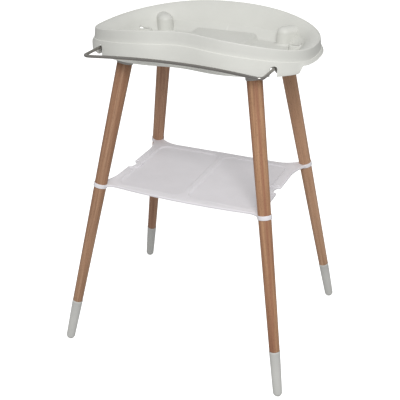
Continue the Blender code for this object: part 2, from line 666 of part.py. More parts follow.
def swept(points, radius, sides=12):
    """A round bar along a path, with flat ends."""
    bm = bmesh.new()
    rows = []
    direction = (points[1] - points[0]).normalized()
    across = Vector((0, 0, 1)).cross(direction)
    across = across.normalized() if across.length > 0.1 else Vector((0, 1, 0))
    for index, point in enumerate(points):
        before = (point - points[index - 1]).normalized() if index else direction
        after = (points[index + 1] - point).normalized() if index + 1 < len(points) else before
        ahead = (before + after).normalized()
        turn = direction.rotation_difference(ahead)
        across.rotate(turn)
        direction = ahead
        up = direction.cross(across).normalized()
        row = []
        for side in range(sides):
            angle = 2.0 * math.pi * side / sides
            row.append(bm.verts.new(point + radius * (math.cos(angle) * across + math.sin(angle) * up)))
        rows.append(row)
    for low, high in zip(rows, rows[1:]):
        for side in range(sides):
            after = (side + 1) % sides
            bm.faces.new((low[side], low[after], high[after], high[side]))
    bm.faces.new(rows[0])
    bm.faces.new(rows[-1])
    return bm


def make_rail():
    """One bent bar: pins in the bushes, up, forward through the notches, and a bowed front."""
    reach = RAIL_ARM_X
    bend_y = RAIL_CENTRE_Y - RAIL_BOW
    half = [((RAIL_PIN_END, RAIL_PIVOT_Y, RAIL_PIVOT_Z), 0.0), ((reach, RAIL_PIVOT_Y, RAIL_PIVOT_Z), 0.0048),
            ((reach, RAIL_PIVOT_Y, RAIL_Z), 0.0075), ((reach, bend_y - 0.002, RAIL_Z), 0.012)]
    bow = [((x * reach, RAIL_CENTRE_Y - RAIL_BOW * (x * reach / 0.230) ** 2, RAIL_Z), 0.0)
           for x in (0.88, 0.75, 0.60, 0.45, 0.30, 0.15, 0.0)]
    right = half + bow
    left = [((-point[0], point[1], point[2]), radius) for point, radius in reversed(right[:-1])]
    pivot = Vector((0.0, RAIL_PIVOT_Y, RAIL_PIVOT_Z))
    path = [point - pivot for point in rounded_path(right + left)]
    add_object("towel_rail", swept(path, RAIL_RADIUS), STEEL, Matrix.Translation(pivot))


def make_rail_bush(name, side):
    profile = [(RAIL_RADIUS + GAP, BUSH_INNER_X), (BUSH_RADIUS, BUSH_INNER_X), (BUSH_RADIUS, BUSH_OUTER_X),
               (RAIL_RADIUS + GAP, BUSH_OUTER_X)]
    bm = turned(profile, FASTENER_SIDES)
    turn = Matrix.Rotation(math.radians(90), 4, "Y")
    mirror = Matrix.Rotation(math.pi if side < 0 else 0.0, 4, "Z")
    bmesh.ops.transform(bm, matrix=mirror @ turn, verts=bm.verts)
    add_object("rail_bush_" + name, bm, NYLON, Matrix.Translation((0.0, RAIL_PIVOT_Y, RAIL_PIVOT_Z)))


def main():
    clear_scene()
    make_tray()
    make_skirt()
    for name, side_x, side_y in CORNERS:
        make_socket(name, side_x, side_y)
        make_leg(name, side_x, side_y)
        make_foot_sleeve(name, side_x, side_y)
        make_fasteners(name, side_x, side_y)
    make_shelf()
    make_rail()
    make_rail_bush("left", -1)
    make_rail_bush("right", 1)


main()
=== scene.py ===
"""The looks of the changing table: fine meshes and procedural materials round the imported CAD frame."""
import json
import math

import bmesh
import bpy
from mathutils import Matrix, Vector


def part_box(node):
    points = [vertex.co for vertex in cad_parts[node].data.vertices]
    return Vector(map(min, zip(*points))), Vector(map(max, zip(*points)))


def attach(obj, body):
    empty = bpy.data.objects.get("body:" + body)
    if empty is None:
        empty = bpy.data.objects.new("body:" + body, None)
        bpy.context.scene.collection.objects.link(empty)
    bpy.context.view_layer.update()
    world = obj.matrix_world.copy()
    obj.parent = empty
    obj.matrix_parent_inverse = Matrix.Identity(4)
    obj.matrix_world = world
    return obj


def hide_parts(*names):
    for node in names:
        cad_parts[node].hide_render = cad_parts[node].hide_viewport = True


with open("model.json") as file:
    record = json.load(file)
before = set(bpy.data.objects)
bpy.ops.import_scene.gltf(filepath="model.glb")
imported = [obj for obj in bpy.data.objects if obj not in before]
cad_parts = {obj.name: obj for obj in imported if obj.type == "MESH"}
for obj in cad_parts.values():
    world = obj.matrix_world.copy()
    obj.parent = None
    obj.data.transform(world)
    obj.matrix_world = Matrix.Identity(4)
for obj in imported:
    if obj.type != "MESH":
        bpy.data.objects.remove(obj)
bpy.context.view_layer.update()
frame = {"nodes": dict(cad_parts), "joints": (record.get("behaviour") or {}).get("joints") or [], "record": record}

CORNERS = [("front_left", -1, -1), ("front_right", 1, -1), ("back_left", -1, 1), ("back_right", 1, 1)]

# ---- what the frame says -------------------------------------------------------------------
BASIN_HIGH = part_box("tray_basin")[1]
SURFACE_Z = frame["record"]["mounts"][0]["pos_m"][2]     # top of the raised surface in the tray
PIVOT = Vector(frame["joints"][0]["pos_m"])              # on the axis that the rail swings about

# ---- tray ----------------------------------------------------------------------------------
RING_POINTS = 440            # points round the tray
MIDDLE_Y = -0.0125           # the tray is widest here
FRONT_POWER = 2.45           # how square the front of each outline is
BELLY_DEPTH, BELLY_HALF_WIDTH = 0.0245, 0.087   # the hollow in the front edge
STEP_GROW = 0.003            # how far the wall has spread out at the seam
# each outline: half width, reach to the front, reach to the back, how square the back is
RIM = (BASIN_HIGH.x - STEP_GROW, 0.1840, 0.2165, 2.5)
CREASE = (0.2640, 0.1610, 0.1780, 3.2)
WELL = (0.2490, 0.1435, 0.1500, 3.2)
RIM_Z, RIM_DROP = BASIN_HIGH.z, 0.0385     # rim height at the middle, and how far it dips at the ends
RIM_RADIUS = 0.0021
STEP_Z, STEP_DROP = RIM_Z - 0.0335, 0.0315  # the same for the seam between tray and skirt
WALL, WALL_BULGE = 0.003, 0.006            # thickness, and how far the wall stands proud of a straight slope
WELL_Z = SURFACE_Z - 0.012                 # floor of the wells either side of the raised surface
CREASE_Z = SURFACE_Z + 0.013               # where the slope round the floor meets the wall
PLATEAU_HALF_WIDTH, PLATEAU_SLOPE, PLATEAU_ROUND = 0.090, 0.014, 0.0025
PLATEAU_INSET, PLATEAU_HOLLOW_Y = 0.004, (-0.118, 0.128)     # the hollow under the raised surface
SLOT_X, SLOT_Y = 0.230, 0.082
SLOT_LOW, SLOT_HIGH = SURFACE_Z - 0.024, SURFACE_Z + 0.012   # heights the slots are cut between
SLOT_HALF_LENGTH, SLOT_RADIUS = 0.0155, 0.0070
PAD_HALF_LENGTH, PAD_RADIUS = 0.0205, 0.0110
BOLSTER_X, BOLSTER_Y, BOLSTER_RADIUS, BOLSTER_TOP = 0.183, 0.125, 0.0235, SURFACE_Z + 0.036
BOLSTER_SQUASH, BOLSTER_TAPER, BOLSTER_REACH = 0.75, 0.92, 0.036
BOLSTER_BEARING = 53         # which way it runs back into the corner, in degrees from +X

# ---- skirt ---------------------------------------------------------------------------------
SKIRT_FRONT_Z = SURFACE_Z - 0.018
SKIRT_LIP = 0.0097           # depth of the skirt at the sides and back
SKIRT_TURN_Y, SKIRT_TURN = -0.108, 0.015   # where its lower edge sweeps up, and over what distance
SKIRT_FLARE = 0.0045
LEDGE, LEDGE_ROUND = 0.002, 0.0014         # how far the skirt stands out past the tray wall
FLANGE_WIDTH = 0.008
LUG_SLOPE = 0.010            # the front of a lug slopes back over this height
LUG_INNER_X, LUG_OUTER_X = 0.2498, 0.2590
LUG_BACK_Y, LUG_LOW_Z, LUG_HIGH_Z = PIVOT.y + 0.0085, PIVOT.z - 0.0085, PIVOT.z + 0.009
PIN_HOLE_RADIUS, PIN_HOLE_INNER_X, PIN_HOLE_OUTER_X = 0.0065, 0.240, 0.263
NOTCH_LOW_Z, NOTCH_FRONT_Y, NOTCH_BACK_Y = 0.860, PIVOT.y - 0.0415, PIVOT.y + 0.0145
NOTCH_INNER_X, NOTCH_OUTER_X, NOTCH_TOP_Z = 0.2360, 0.2520, SURFACE_Z + 0.0085

# ---- legs, all lengths along a leg's own axis from the floor ---------------------------------
TURNED_SIDES = 72
LEG_RADIUS_FLOOR, LEG_TAPER = 0.0136, 0.00835
LEG_TOP, SLEEVE_TOP = 0.9004, 0.138
LEG_BORE_RADIUS, LEG_BORE_DEPTH = 0.0068, 0.033   # the bore for the threaded insert
TENON_END, TENON_RADIUS, TENON_STEP = 0.030, 0.0109, 0.0013
SLEEVE_RADIUS, FOOT_RADIUS = 0.0153, 0.0130
SOCKET_BOTTOM, SOCKET_TOP, SOCKET_PLATE, SOCKET_RADIUS = 0.8853, 0.9037, 0.003, 0.0232
BOSS_BOTTOM, BOSS_TOP, BOSS_RADIUS = 0.9040, 0.930, 0.026
RECESS_BOTTOM, RECESS_RADIUS = 0.9075, 0.0115
FRONT_RECESS_TOP, BACK_RECESS_TOP = 0.935, 0.9215
BOLT_END, BOLT_RADIUS, BOLT_HEAD_RADIUS, BOLT_HEAD = 0.872, 0.004, 0.0070, 0.0045
HEX_RADIUS, HEX_DEPTH, HEX_CLEAR = 0.0029, 0.0025, 0.004
WASHER_RADIUS, WASHER = 0.0105, 0.0015
GAP = 0.0003

# ---- shelf and rail --------------------------------------------------------------------------
SHELF_RING_Z = 0.5080
SHELF_TOP, SHELF_FLOOR, SHELF_BOTTOM = 0.5105, 0.5065, 0.5030
RING_HEIGHT, RING_WALL = 0.012, 0.0022
POCKET_X, POCKET_Y, POCKET_CORNER = (0.0065, 0.2085), (-0.166, 0.140), 0.030
TAB_X, TAB_Y, TAB_OUTER, TAB_INNER = 0.2290, -0.025, 0.0290, 0.0245
RAIL_RADIUS, RAIL_SIDES = 0.004, 28
RAIL_Z, RAIL_ARM_X, RAIL_CENTRE_Y, RAIL_BOW = SURFACE_Z + 0.002, 0.245, -0.206, 0.034
RAIL_PIN_END, RAIL_BOW_REACH = 0.261, 0.230   # where a pin ends, and the x at which the bow is RAIL_BOW deep

# ---- camera and light ------------------------------------------------------------------------
CAMERA_PLACE = (0.8168, -1.9418, 1.4878)
CAMERA_TILT, CAMERA_TURN = 63.126, 23.402
CAMERA_LENS, CAMERA_SHIFT = 70.63, 0.0037
WORLD_LIGHT, FLOOR_TONE = 0.58, 0.55       # the even light all round, and how pale the floor is


# ---- meshes: helpers ---------------------------------------------------------------------------
def new_object(name, bm, place=None):
    """Turn a bmesh into an object with its faces pointing out.

    With a place, the points move there and keep where they were as the attribute 'grain'.
    """
    if place is not None:
        if "grain" not in bm.verts.layers.float_vector:
            grain = bm.verts.layers.float_vector.new("grain")
            for vertex in bm.verts:
                vertex[grain] = vertex.co
        bmesh.ops.transform(bm, matrix=place, verts=bm.verts)
    bmesh.ops.recalc_face_normals(bm, faces=bm.faces)
    mesh = bpy.data.meshes.new(name)
    bm.to_mesh(mesh)
    bm.free()
    item = bpy.data.objects.new(name, mesh)
    bpy.context.scene.collection.objects.link(item)
    return item


def finish_piece(item, body, slot, material, *nodes):
    """Smooth the piece, give it its material and set it on its body in place of its CAD nodes."""
    item.data.shade_smooth()
    item.data.set_sharp_from_angle(angle=math.radians(35))
    item.data.materials.clear()
    item.data.materials.append(material)
    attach(item, body)
    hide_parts(*nodes)
    return item


def combine(item, tools, operation):
    """Cut or join with all the tools in one step, then take the tools out of the scene."""
    group = bpy.data.collections.new("tools")
    bpy.context.scene.collection.children.link(group)
    for tool in tools:
        bpy.context.scene.collection.objects.unlink(tool)
        group.objects.link(tool)
    step = item.modifiers.new("combine", "BOOLEAN")
    step.operation = operation
    step.solver = "EXACT"
    step.operand_type = "COLLECTION"
    step.collection = group
    bpy.context.view_layer.update()
    graph = bpy.context.evaluated_depsgraph_get()
    result = bpy.data.meshes.new_from_object(item.evaluated_get(graph))
    item.modifiers.clear()
    item.data = result
    for tool in tools:
        bpy.data.objects.remove(tool, do_unlink=True)
    bpy.data.collections.remove(group)
    return item


def loft(rings, closed_loop=False):
    """Skin a list of equal rings of points, closed at both ends or back on itself."""
    bm = bmesh.new()
    rows = [[bm.verts.new(point) for point in ring] for ring in rings]
    pairs = list(zip(rows, rows[1:]))
    if closed_loop:
        pairs.append((rows[-1], rows[0]))
    for low, high in pairs:
        count = len(low)
        for index in range(count):
            after = (index + 1) % count
            bm.faces.new((low[index], low[after], high[after], high[index]))
    if not closed_loop:
        bm.faces.new(rows[0])
        bm.faces.new(rows[-1])
    return bm


def turned(profile, sides=TURNED_SIDES):
    """Turn a (radius, height) profile about Z. A radius of zero is a point on the axis."""
    bm = bmesh.new()
    rows = []
    for radius, height in profile:
        if radius == 0.0:
            rows.append([bm.verts.new((0.0, 0.0, height))])
            continue
        angles = [2.0 * math.pi * index / sides for index in range(sides)]
        rows.append([bm.verts.new((radius * math.cos(a), radius * math.sin(a), height)) for a in angles])
    pairs = list(zip(rows, rows[1:]))
    if len(rows[0]) > 1:
        pairs.append((rows[-1], rows[0]))
    for low, high in pairs:
        for index in range(sides):
            after = (index + 1) % sides
            corners = (low[index % len(low)], low[after % len(low)],
                       high[after % len(high)], high[index % len(high)])
            distinct = list(dict.fromkeys(corners))
            if len(distinct) > 2:
                bm.faces.new(distinct)
    return bm


def arc(centre, radius, start, end, steps=6):
    """Points of an arc from one angle to another, in degrees."""
    points = []
    for index in range(steps + 1):
        angle = math.radians(start + (end - start) * index / steps)
        points.append((centre[0] + radius * math.cos(angle), centre[1] + radius * math.sin(angle)))
    return points


def bezier(start, control, end, steps):
    """Points of a quadratic curve, without its last point."""
    points = []
    for index in range(steps):
        t = index / steps
        a, b, c = (1 - t) ** 2, 2 * t * (1 - t), t * t
        points.append(tuple(a * p + b * q + c * r for p, q, r in zip(start, control, end)))
    return points


def flat(points, height):
    return [(x, y, height) for x, y in points]


def prism(outline_points, bottom, top):
    """Extrude a flat outline of (x, y) points from one height to another."""
    return loft([flat(outline_points, bottom), flat(outline_points, top)])


def smoothstep(value):
    value = max(0.0, min(1.0, value))
    return value * value * (3.0 - 2.0 * value)


# ---- the frames of the legs ----------------------------------------------------------------------
def middle_of(node):
    """The mean of a CAD node's distinct corners. For a turned piece it lies on its axis."""
    corners = {tuple(round(c, 5) for c in vertex.co) for vertex in frame["nodes"][node].data.vertices}
    total = Vector((0, 0, 0))
    for corner in corners:
        total += Vector(corner)
    return total / len(corners)


def leg_place(corner):
    """The frame of one leg: origin where its axis meets the floor, local Z up along the axis."""
    low = middle_of("foot_sleeve_" + corner)
    high = middle_of("leg_insert_" + corner)
    axis = (high - low).normalized()
    foot = low - axis * (low.z / axis.z)
    return Matrix.Translation(foot) @ Vector((0, 0, 1)).rotation_difference(axis).to_matrix().to_4x4()


LEG_PLACES = {corner: leg_place(corner) for corner, _, _ in CORNERS}


def leg_radius(along):
    return LEG_RADIUS_FLOOR + LEG_TAPER * along


def leg_along(corner, height):
    """How far along a leg's axis a height above the floor is."""
    return height / (LEG_PLACES[corner].to_3x3() @ Vector((0, 0, 1))).z


def leg_point(corner, height):
    return LEG_PLACES[corner] @ Vector((0, 0, leg_along(corner, height)))


# ---- tray --------------------------------------------------------------------------------------
def outline(grow=0.0, shape=RIM):
    """Points (x, y) round a kidney outline, grown outwards by a distance at every side."""
    half_width, front, back, back_power = shape
    points = []
    for index in range(RING_POINTS):
        angle = 2.0 * math.pi * index / RING_POINTS
        c, s = math.cos(angle), math.sin(angle)
        depth, power = (back, back_power) if s >= 0 else (front, FRONT_POWER)
        reach = (abs(c / (half_width + grow)) ** power + abs(s / (depth + grow)) ** power) ** (-1.0 / power)
        x, y = reach * c, MIDDLE_Y + reach * s
        if s < 0:
            y += BELLY_DEPTH * math.exp(-((x / BELLY_HALF_WIDTH) ** 2))
        points.append((x, y))
    return points


def end_share(x):
    """0 at the middle of the tray and 1 at its two ends."""
    return min(1.0, abs(x) / RIM[0]) ** 2


def saddle(points, middle, drop):
    """Lift an outline to a height that dips towards its two ends."""
    return [(x, y, middle - drop * end_share(x)) for x, y in points]


def blend_rings(first, second, share, bulge=0.0):
    return [(a[0] + (b[0] - a[0]) * share, a[1] + (b[1] - a[1]) * share, a[2] + (b[2] - a[2]) * share + bulge)
            for a, b in zip(first, second)]


def fillet(before, corner, after, steps=6):
    """Rings that round the corner between two sloping faces."""
    rings = []
    for index in range(steps + 1):
        t = index / steps
        rings.append(blend_rings(blend_rings(before, corner, t), blend_rings(corner, after, t), t))
    return rings


def wall_bulge(share):
    """How far the tray's wall stands proud of a straight slope from crease to rim."""
    return WALL_BULGE * math.sin(math.pi * share) ** 0.7


def tray_rings():
    """Rings from the middle of the floor, over the rim and down, then back under the floor."""
    floor = flat(outline(-0.0060, WELL), WELL_Z)
    well = flat(outline(0.0, WELL), WELL_Z)
    crease = flat(outline(0.0, CREASE), CREASE_Z)
    rim_inner = saddle(outline(-2 * RIM_RADIUS), RIM_Z - RIM_RADIUS, RIM_DROP)
    rings = fillet(floor, well, blend_rings(well, crease, 0.25), 4)
    above_crease = blend_rings(crease, rim_inner, 0.04, wall_bulge(0.04))
    rings += fillet(blend_rings(well, crease, 0.94), crease, above_crease, 4)
    for share in (0.10, 0.18, 0.28, 0.38, 0.50, 0.62, 0.74, 0.86, 0.95):
        rings.append(blend_rings(crease, rim_inner, share, wall_bulge(share)))
    for grow, rise in arc((-RIM_RADIUS, -RIM_RADIUS), RIM_RADIUS, 180, 0, 10):
        rings.append(saddle(outline(grow), RIM_Z + rise, RIM_DROP))
    rim_outer = rings[-1]
    step = saddle(outline(STEP_GROW), STEP_Z, STEP_DROP)
    rings += [blend_rings(rim_outer, step, share) for share in (0.33, 0.66, 1.0)]
    hollow_top = saddle(outline(-0.0020), RIM_Z - 0.0120, RIM_DROP)
    crease_under = flat(outline(0.0028, CREASE), CREASE_Z - 0.0020)
    rings += [
        saddle(outline(STEP_GROW - WALL), STEP_Z, STEP_DROP),
        hollow_top,
        blend_rings(hollow_top, crease_under, 0.40, WALL_BULGE),
        crease_under,
        flat(outline(0.0015, WELL), WELL_Z - WALL),
    ]
    return rings


def inside_volume():
    """What the tray holds, reaching half way into its floor and walls."""
    crease = flat(outline(0.0014, CREASE), CREASE_Z - 0.0010)
    wall_top = saddle(outline(-0.0034), RIM_Z - 0.0060, RIM_DROP)
    return new_object("inside", loft([
        flat(outline(0.0007, WELL), WELL_Z - 0.5 * WALL),
        crease,
        blend_rings(crease, wall_top, 0.40, WALL_BULGE),
        wall_top,
    ]))


def plateau():
    """The raised surface across the middle of the tray, with sloping sides and rounded edges."""
    half, slope, low = PLATEAU_HALF_WIDTH, PLATEAU_SLOPE, WELL_Z - 0.002
    fall = (SURFACE_Z - low) / slope
    edge = bezier((half + PLATEAU_ROUND, SURFACE_Z - PLATEAU_ROUND * fall), (half, SURFACE_Z),
                  (half - 1.6 * PLATEAU_ROUND, SURFACE_Z), 5)
    right = [(half + slope, low)] + edge + [(half - 1.6 * PLATEAU_ROUND, SURFACE_Z)]
    sides = right + [(-x, z) for x, z in reversed(right)]
    return loft([[(x, y, z) for x, z in sides] for y in (-0.200, 0.200)])


def plateau_hollow():
    """The space under the raised surface, so that its wall is as thin as the floor."""
    half, slope, low = PLATEAU_HALF_WIDTH - PLATEAU_INSET, PLATEAU_SLOPE, SLOT_LOW
    sides = [(half + slope, low), (half, SURFACE_Z - WALL), (-half, SURFACE_Z - WALL), (-half - slope, low)]
    return loft([[(x, y, z) for x, z in sides] for y in PLATEAU_HOLLOW_Y])


def bolster(side):
    """A round-topped column that runs back into the wall, with a fillet round its foot."""
    upper, foot = BOLSTER_RADIUS * BOLSTER_TAPER, 0.005
    crown = BOLSTER_TOP - upper * BOLSTER_SQUASH
    levels = [(BOLSTER_RADIUS + foot, WELL_Z - 0.002)]
    levels += arc((BOLSTER_RADIUS + foot, WELL_Z + foot), foot, 270, 180, 5)
    levels += [(upper * c, crown + BOLSTER_SQUASH * upper * s) for c, s in arc((0, 0), 1.0, 0, 86, 14)]
    rings = []
    for radius, height in levels:
        points = arc((BOLSTER_X, BOLSTER_Y), radius, BOLSTER_BEARING + 90, BOLSTER_BEARING + 270, 32)
        back_x = BOLSTER_REACH * math.cos(math.radians(BOLSTER_BEARING))
        back_y = BOLSTER_REACH * math.sin(math.radians(BOLSTER_BEARING))
        points += [(x + back_x, y + back_y) for x, y in (points[-1], points[0])]
        rings.append(flat([(side * x, y) for x, y in points], height))
    return loft(rings)


def slot_outline(side, half_length, radius):
    reach = half_length - radius
    points = arc((side * SLOT_X + reach, SLOT_Y), radius, -90, 90, 12)
    points += arc((side * SLOT_X - reach, SLOT_Y), radius, 90, 270, 12)
    return points


def slot_pad(side):
    """A low round-ended pad with a rounded upper edge."""
    rings = [flat(slot_outline(side, PAD_HALF_LENGTH + 0.001, PAD_RADIUS + 0.001), WELL_Z - 0.002)]
    for inset, rise in arc((0.0015, -0.0015), 0.0015, 180, 90, 4):
        rings.append(flat(slot_outline(side, PAD_HALF_LENGTH - inset, PAD_RADIUS - inset), SURFACE_Z + rise))
    return loft(rings)


def slot_cutters(side):
    """The slot itself, and the hollow under its pad that leaves a wall as thin as the floor."""
    hollow = slot_outline(side, PAD_HALF_LENGTH - WALL, PAD_RADIUS - WALL)
    slot = slot_outline(side, SLOT_HALF_LENGTH, SLOT_RADIUS)
    return [prism(hollow, SLOT_LOW, SURFACE_Z - WALL), prism(slot, SLOT_LOW, SLOT_HIGH)]


def leg_boss():
    """The round block under the floor that a leg's socket is clamped against."""
    return turned([(0.0, BOSS_BOTTOM), (BOSS_RADIUS, BOSS_BOTTOM), (BOSS_RADIUS, BOSS_TOP), (0.0, BOSS_TOP)])


def bolt_seat(top):
    """The bolt's hole and the round recess for its head, open above at the front and closed at the back."""
    hole = BOLT_RADIUS + GAP
    return turned([(0.0, SOCKET_BOTTOM), (hole, SOCKET_BOTTOM), (hole, RECESS_BOTTOM),
                   (RECESS_RADIUS, RECESS_BOTTOM), (RECESS_RADIUS, top), (0.0, top)])


def on_leg(corner, bm):
    bmesh.ops.transform(bm, matrix=LEG_PLACES[corner], verts=bm.verts)
    return bm


def make_tray(material):
    tray = new_object("tray_basin_shell", loft(tray_rings()))
    inside = [plateau(), bolster(-1), bolster(1), slot_pad(-1), slot_pad(1)]
    join = [combine(new_object("join", bm), [inside_volume()], "INTERSECT") for bm in inside]
    cut = [new_object("cut", bm) for bm in [plateau_hollow()] + slot_cutters(-1) + slot_cutters(1)]
    for corner, _, side_y in CORNERS:
        boss = new_object("join", on_leg(corner, leg_boss()))
        join.append(combine(boss, [inside_volume()], "DIFFERENCE"))
        seat = bolt_seat(FRONT_RECESS_TOP if side_y < 0 else BACK_RECESS_TOP)
        cut.append(new_object("cut", on_leg(corner, seat)))
    combine(tray, join, "UNION")
    combine(tray, cut, "DIFFERENCE")
    finish_piece(tray, "stand", "tray_plastic", material, "tray_basin")


# ---- skirt ---------------------------------------------------------------------------------------
def skirt_bottom(x, y):
    """Height of the skirt's lower edge: deep across the front, a shallow lip elsewhere."""
    lip = STEP_Z - STEP_DROP * end_share(x) - SKIRT_LIP
    return SKIRT_FRONT_Z + (lip - SKIRT_FRONT_Z) * smoothstep((y - SKIRT_TURN_Y) / SKIRT_TURN)


def skirt_ring(grow, share, rise=0.0):
    """A ring of the skirt wall. A share of 0 is its top edge and 1 is its bottom edge."""
    ring = []
    for x, y in outline(grow):
        top = STEP_Z - STEP_DROP * end_share(x)
        ring.append((x, y, top + (skirt_bottom(x, y) - top) * share + rise))
    return ring


def skirt_rings():
    outer = STEP_GROW + LEDGE
    bottom = outer + SKIRT_FLARE
    half = 0.5 * WALL
    rings = [skirt_ring(outer - FLANGE_WIDTH, 0.0)]
    rings += [skirt_ring(grow, 0.0, rise) for grow, rise in
              arc((outer - LEDGE_ROUND, -LEDGE_ROUND), LEDGE_ROUND, 90, 0, 5)]
    rings += [skirt_ring(outer + SKIRT_FLARE * share, share) for share in (0.3, 0.5, 0.7)]
    rings += [skirt_ring(grow, 1.0, rise) for grow, rise in arc((bottom - half, half), half, 0, -180, 8)]
    rings += [
        skirt_ring(outer + SKIRT_FLARE * 0.5 - WALL, 0.5),
        skirt_ring(outer - WALL, 0.0, -0.0025),
        skirt_ring(outer - FLANGE_WIDTH, 0.0, -0.0025),
    ]
    return rings


def front_edge(x, grow):
    """The y of the front outline at one x."""
    share = (abs(x) / (RIM[0] + grow)) ** FRONT_POWER
    depth = (RIM[1] + grow) * max(0.0, 1.0 - share) ** (1.0 / FRONT_POWER)
    return MIDDLE_Y - depth + BELLY_DEPTH * math.exp(-((x / BELLY_HALF_WIDTH) ** 2))


def lug(side):
    """A block behind the skirt's wall that carries the bush of the towel rail."""
    rings = []
    for height, grow in ((LUG_LOW_Z + LUG_SLOPE, 0.0070), (LUG_HIGH_Z, 0.0060)):
        xs = [LUG_INNER_X, 0.5 * (LUG_INNER_X + LUG_OUTER_X), LUG_OUTER_X]
        front = [(side * x, front_edge(x, grow), height) for x in xs]
        rings.append(front + [(side * x, LUG_BACK_Y, height) for x in (LUG_OUTER_X, LUG_INNER_X)])
    lowest = [(x, y if y == LUG_BACK_Y else y + LUG_SLOPE * 0.35, LUG_LOW_Z) for x, y, _ in rings[0]]
    return loft([lowest] + rings)


def notch(side):
    """The arch through the skirt that the rail's arm passes and swings down through."""
    middle = 0.5 * (NOTCH_INNER_X + NOTCH_OUTER_X)
    radius = 0.5 * (NOTCH_OUTER_X - NOTCH_INNER_X)
    profile = [(middle + radius, NOTCH_LOW_Z)]
    profile += arc((middle, NOTCH_TOP_Z - radius), radius, 0, 180, 20)
    profile.append((middle - radius, NOTCH_LOW_Z))
    return loft([[(side * x, y, z) for x, z in profile] for y in (NOTCH_FRONT_Y, NOTCH_BACK_Y)])


def pin_hole(side):
    """The hole through a lug for the rail's bush and pin."""
    bm = turned([(0.0, PIN_HOLE_INNER_X), (PIN_HOLE_RADIUS, PIN_HOLE_INNER_X),
                 (PIN_HOLE_RADIUS, PIN_HOLE_OUTER_X), (0.0, PIN_HOLE_OUTER_X)], 36)
    turn = Matrix.Rotation(math.radians(90) * side, 4, "Y")
    bmesh.ops.transform(bm, matrix=Matrix.Translation((0.0, PIVOT.y, PIVOT.z)) @ turn, verts=bm.verts)
    return bm


def make_skirt(material):
    skirt = new_object("tray_skirt_band", loft(skirt_rings(), closed_loop=True))
    combine(skirt, [new_object("join", lug(side)) for side in (-1, 1)], "UNION")
    cut = [new_object("cut", shape(side)) for side in (-1, 1) for shape in (pin_hole, notch)]
    combine(skirt, cut, "DIFFERENCE")
    finish_piece(skirt, "stand", "skirt_plastic", material, "tray_skirt")


# ---- legs and what holds them ----------------------------------------------------------------------
def make_leg(corner, material):
    tenon_top = SLEEVE_TOP + GAP
    low, high = leg_radius(tenon_top), leg_radius(LEG_TOP)
    profile = [(0.0, TENON_END), (TENON_RADIUS, TENON_END), (TENON_RADIUS + TENON_STEP, tenon_top)]
    profile += arc((low - 0.0006, tenon_top + 0.0006), 0.0006, -90, 0, 3)
    profile += [(leg_radius(along), along) for along in (0.30, 0.45, 0.60, 0.75)]
    profile += arc((high - 0.001, LEG_TOP - 0.001), 0.001, 0, 90, 4)
    bore_bottom = LEG_TOP - LEG_BORE_DEPTH
    profile += [(LEG_BORE_RADIUS, LEG_TOP), (LEG_BORE_RADIUS, bore_bottom), (0.0, bore_bottom)]
    leg = new_object("leg_" + corner + "_turned", turned(profile), LEG_PLACES[corner])
    finish_piece(leg, "stand", "beech", material, "leg_" + corner)


def make_foot_sleeve(corner, material):
    centre = FOOT_RADIUS / (LEG_PLACES[corner].to_3x3() @ Vector((0, 0, 1))).z
    lip = SLEEVE_RADIUS + 0.0004
    profile = [(0.0, centre - FOOT_RADIUS)]
    profile += arc((0.0, centre), FOOT_RADIUS, -82, 0, 12)
    profile += [(0.5 * (FOOT_RADIUS + SLEEVE_RADIUS), 0.070), (SLEEVE_RADIUS, SLEEVE_TOP - 0.0052)]
    profile += arc((lip - 0.0004, SLEEVE_TOP - 0.0042), 0.0004, 0, 30, 1)
    profile += arc((lip - 0.0012, SLEEVE_TOP - 0.0012), 0.0012, 0, 90, 5)
    profile += [(TENON_RADIUS + TENON_STEP + GAP, SLEEVE_TOP), (TENON_RADIUS + GAP, TENON_END - GAP),
                (0.0, TENON_END - GAP)]
    sleeve = new_object("foot_sleeve_" + corner + "_moulded", turned(profile), LEG_PLACES[corner])
    finish_piece(sleeve, "stand", "sleeve_plastic", material, "foot_sleeve_" + corner)


def make_socket(corner, material):
    inside = leg_radius(SOCKET_BOTTOM) + GAP
    plate = SOCKET_TOP - SOCKET_PLATE
    profile = [(inside, SOCKET_BOTTOM + 0.0005), (inside + 0.0005, SOCKET_BOTTOM)]
    profile += arc((SOCKET_RADIUS - 0.001, SOCKET_BOTTOM + 0.001), 0.001, -90, 0, 4)
    profile += [(SOCKET_RADIUS + 0.0008, SOCKET_TOP), (BOLT_RADIUS + GAP, SOCKET_TOP),
                (BOLT_RADIUS + GAP, plate), (leg_radius(LEG_TOP) + GAP, plate)]
    socket = new_object("leg_socket_" + corner + "_moulded", turned(profile), LEG_PLACES[corner])
    finish_piece(socket, "stand", "socket_plastic", material, "leg_socket_" + corner)


def make_bolt(corner, material):
    """A button-head bolt with a six-sided socket."""
    under_head = RECESS_BOTTOM + GAP + WASHER + GAP
    top = under_head + BOLT_HEAD
    dome = 0.62 * BOLT_HEAD
    profile = [(0.0, BOLT_END), (BOLT_RADIUS - 0.0006, BOLT_END), (BOLT_RADIUS, BOLT_END + 0.001),
               (BOLT_RADIUS, under_head)]
    profile += arc((BOLT_HEAD_RADIUS - 0.0003, under_head + 0.0003), 0.0003, -90, 0, 2)
    profile += [(BOLT_HEAD_RADIUS * c, top - dome + dome * s) for c, s in arc((0, 0), 1.0, 0, 62, 8)]
    profile.append((0.0, profile[-1][1]))
    bolt = new_object("leg_bolt_" + corner + "_button_head", turned(profile, 48), LEG_PLACES[corner])
    low, high = top - HEX_DEPTH, top + HEX_CLEAR
    hexagon = turned([(0.0, low), (HEX_RADIUS, low), (HEX_RADIUS, high), (0.0, high)], 6)
    combine(bolt, [new_object("cut", hexagon, LEG_PLACES[corner])], "DIFFERENCE")
    finish_piece(bolt, "stand", "fastener_steel", material, "leg_bolt_" + corner)


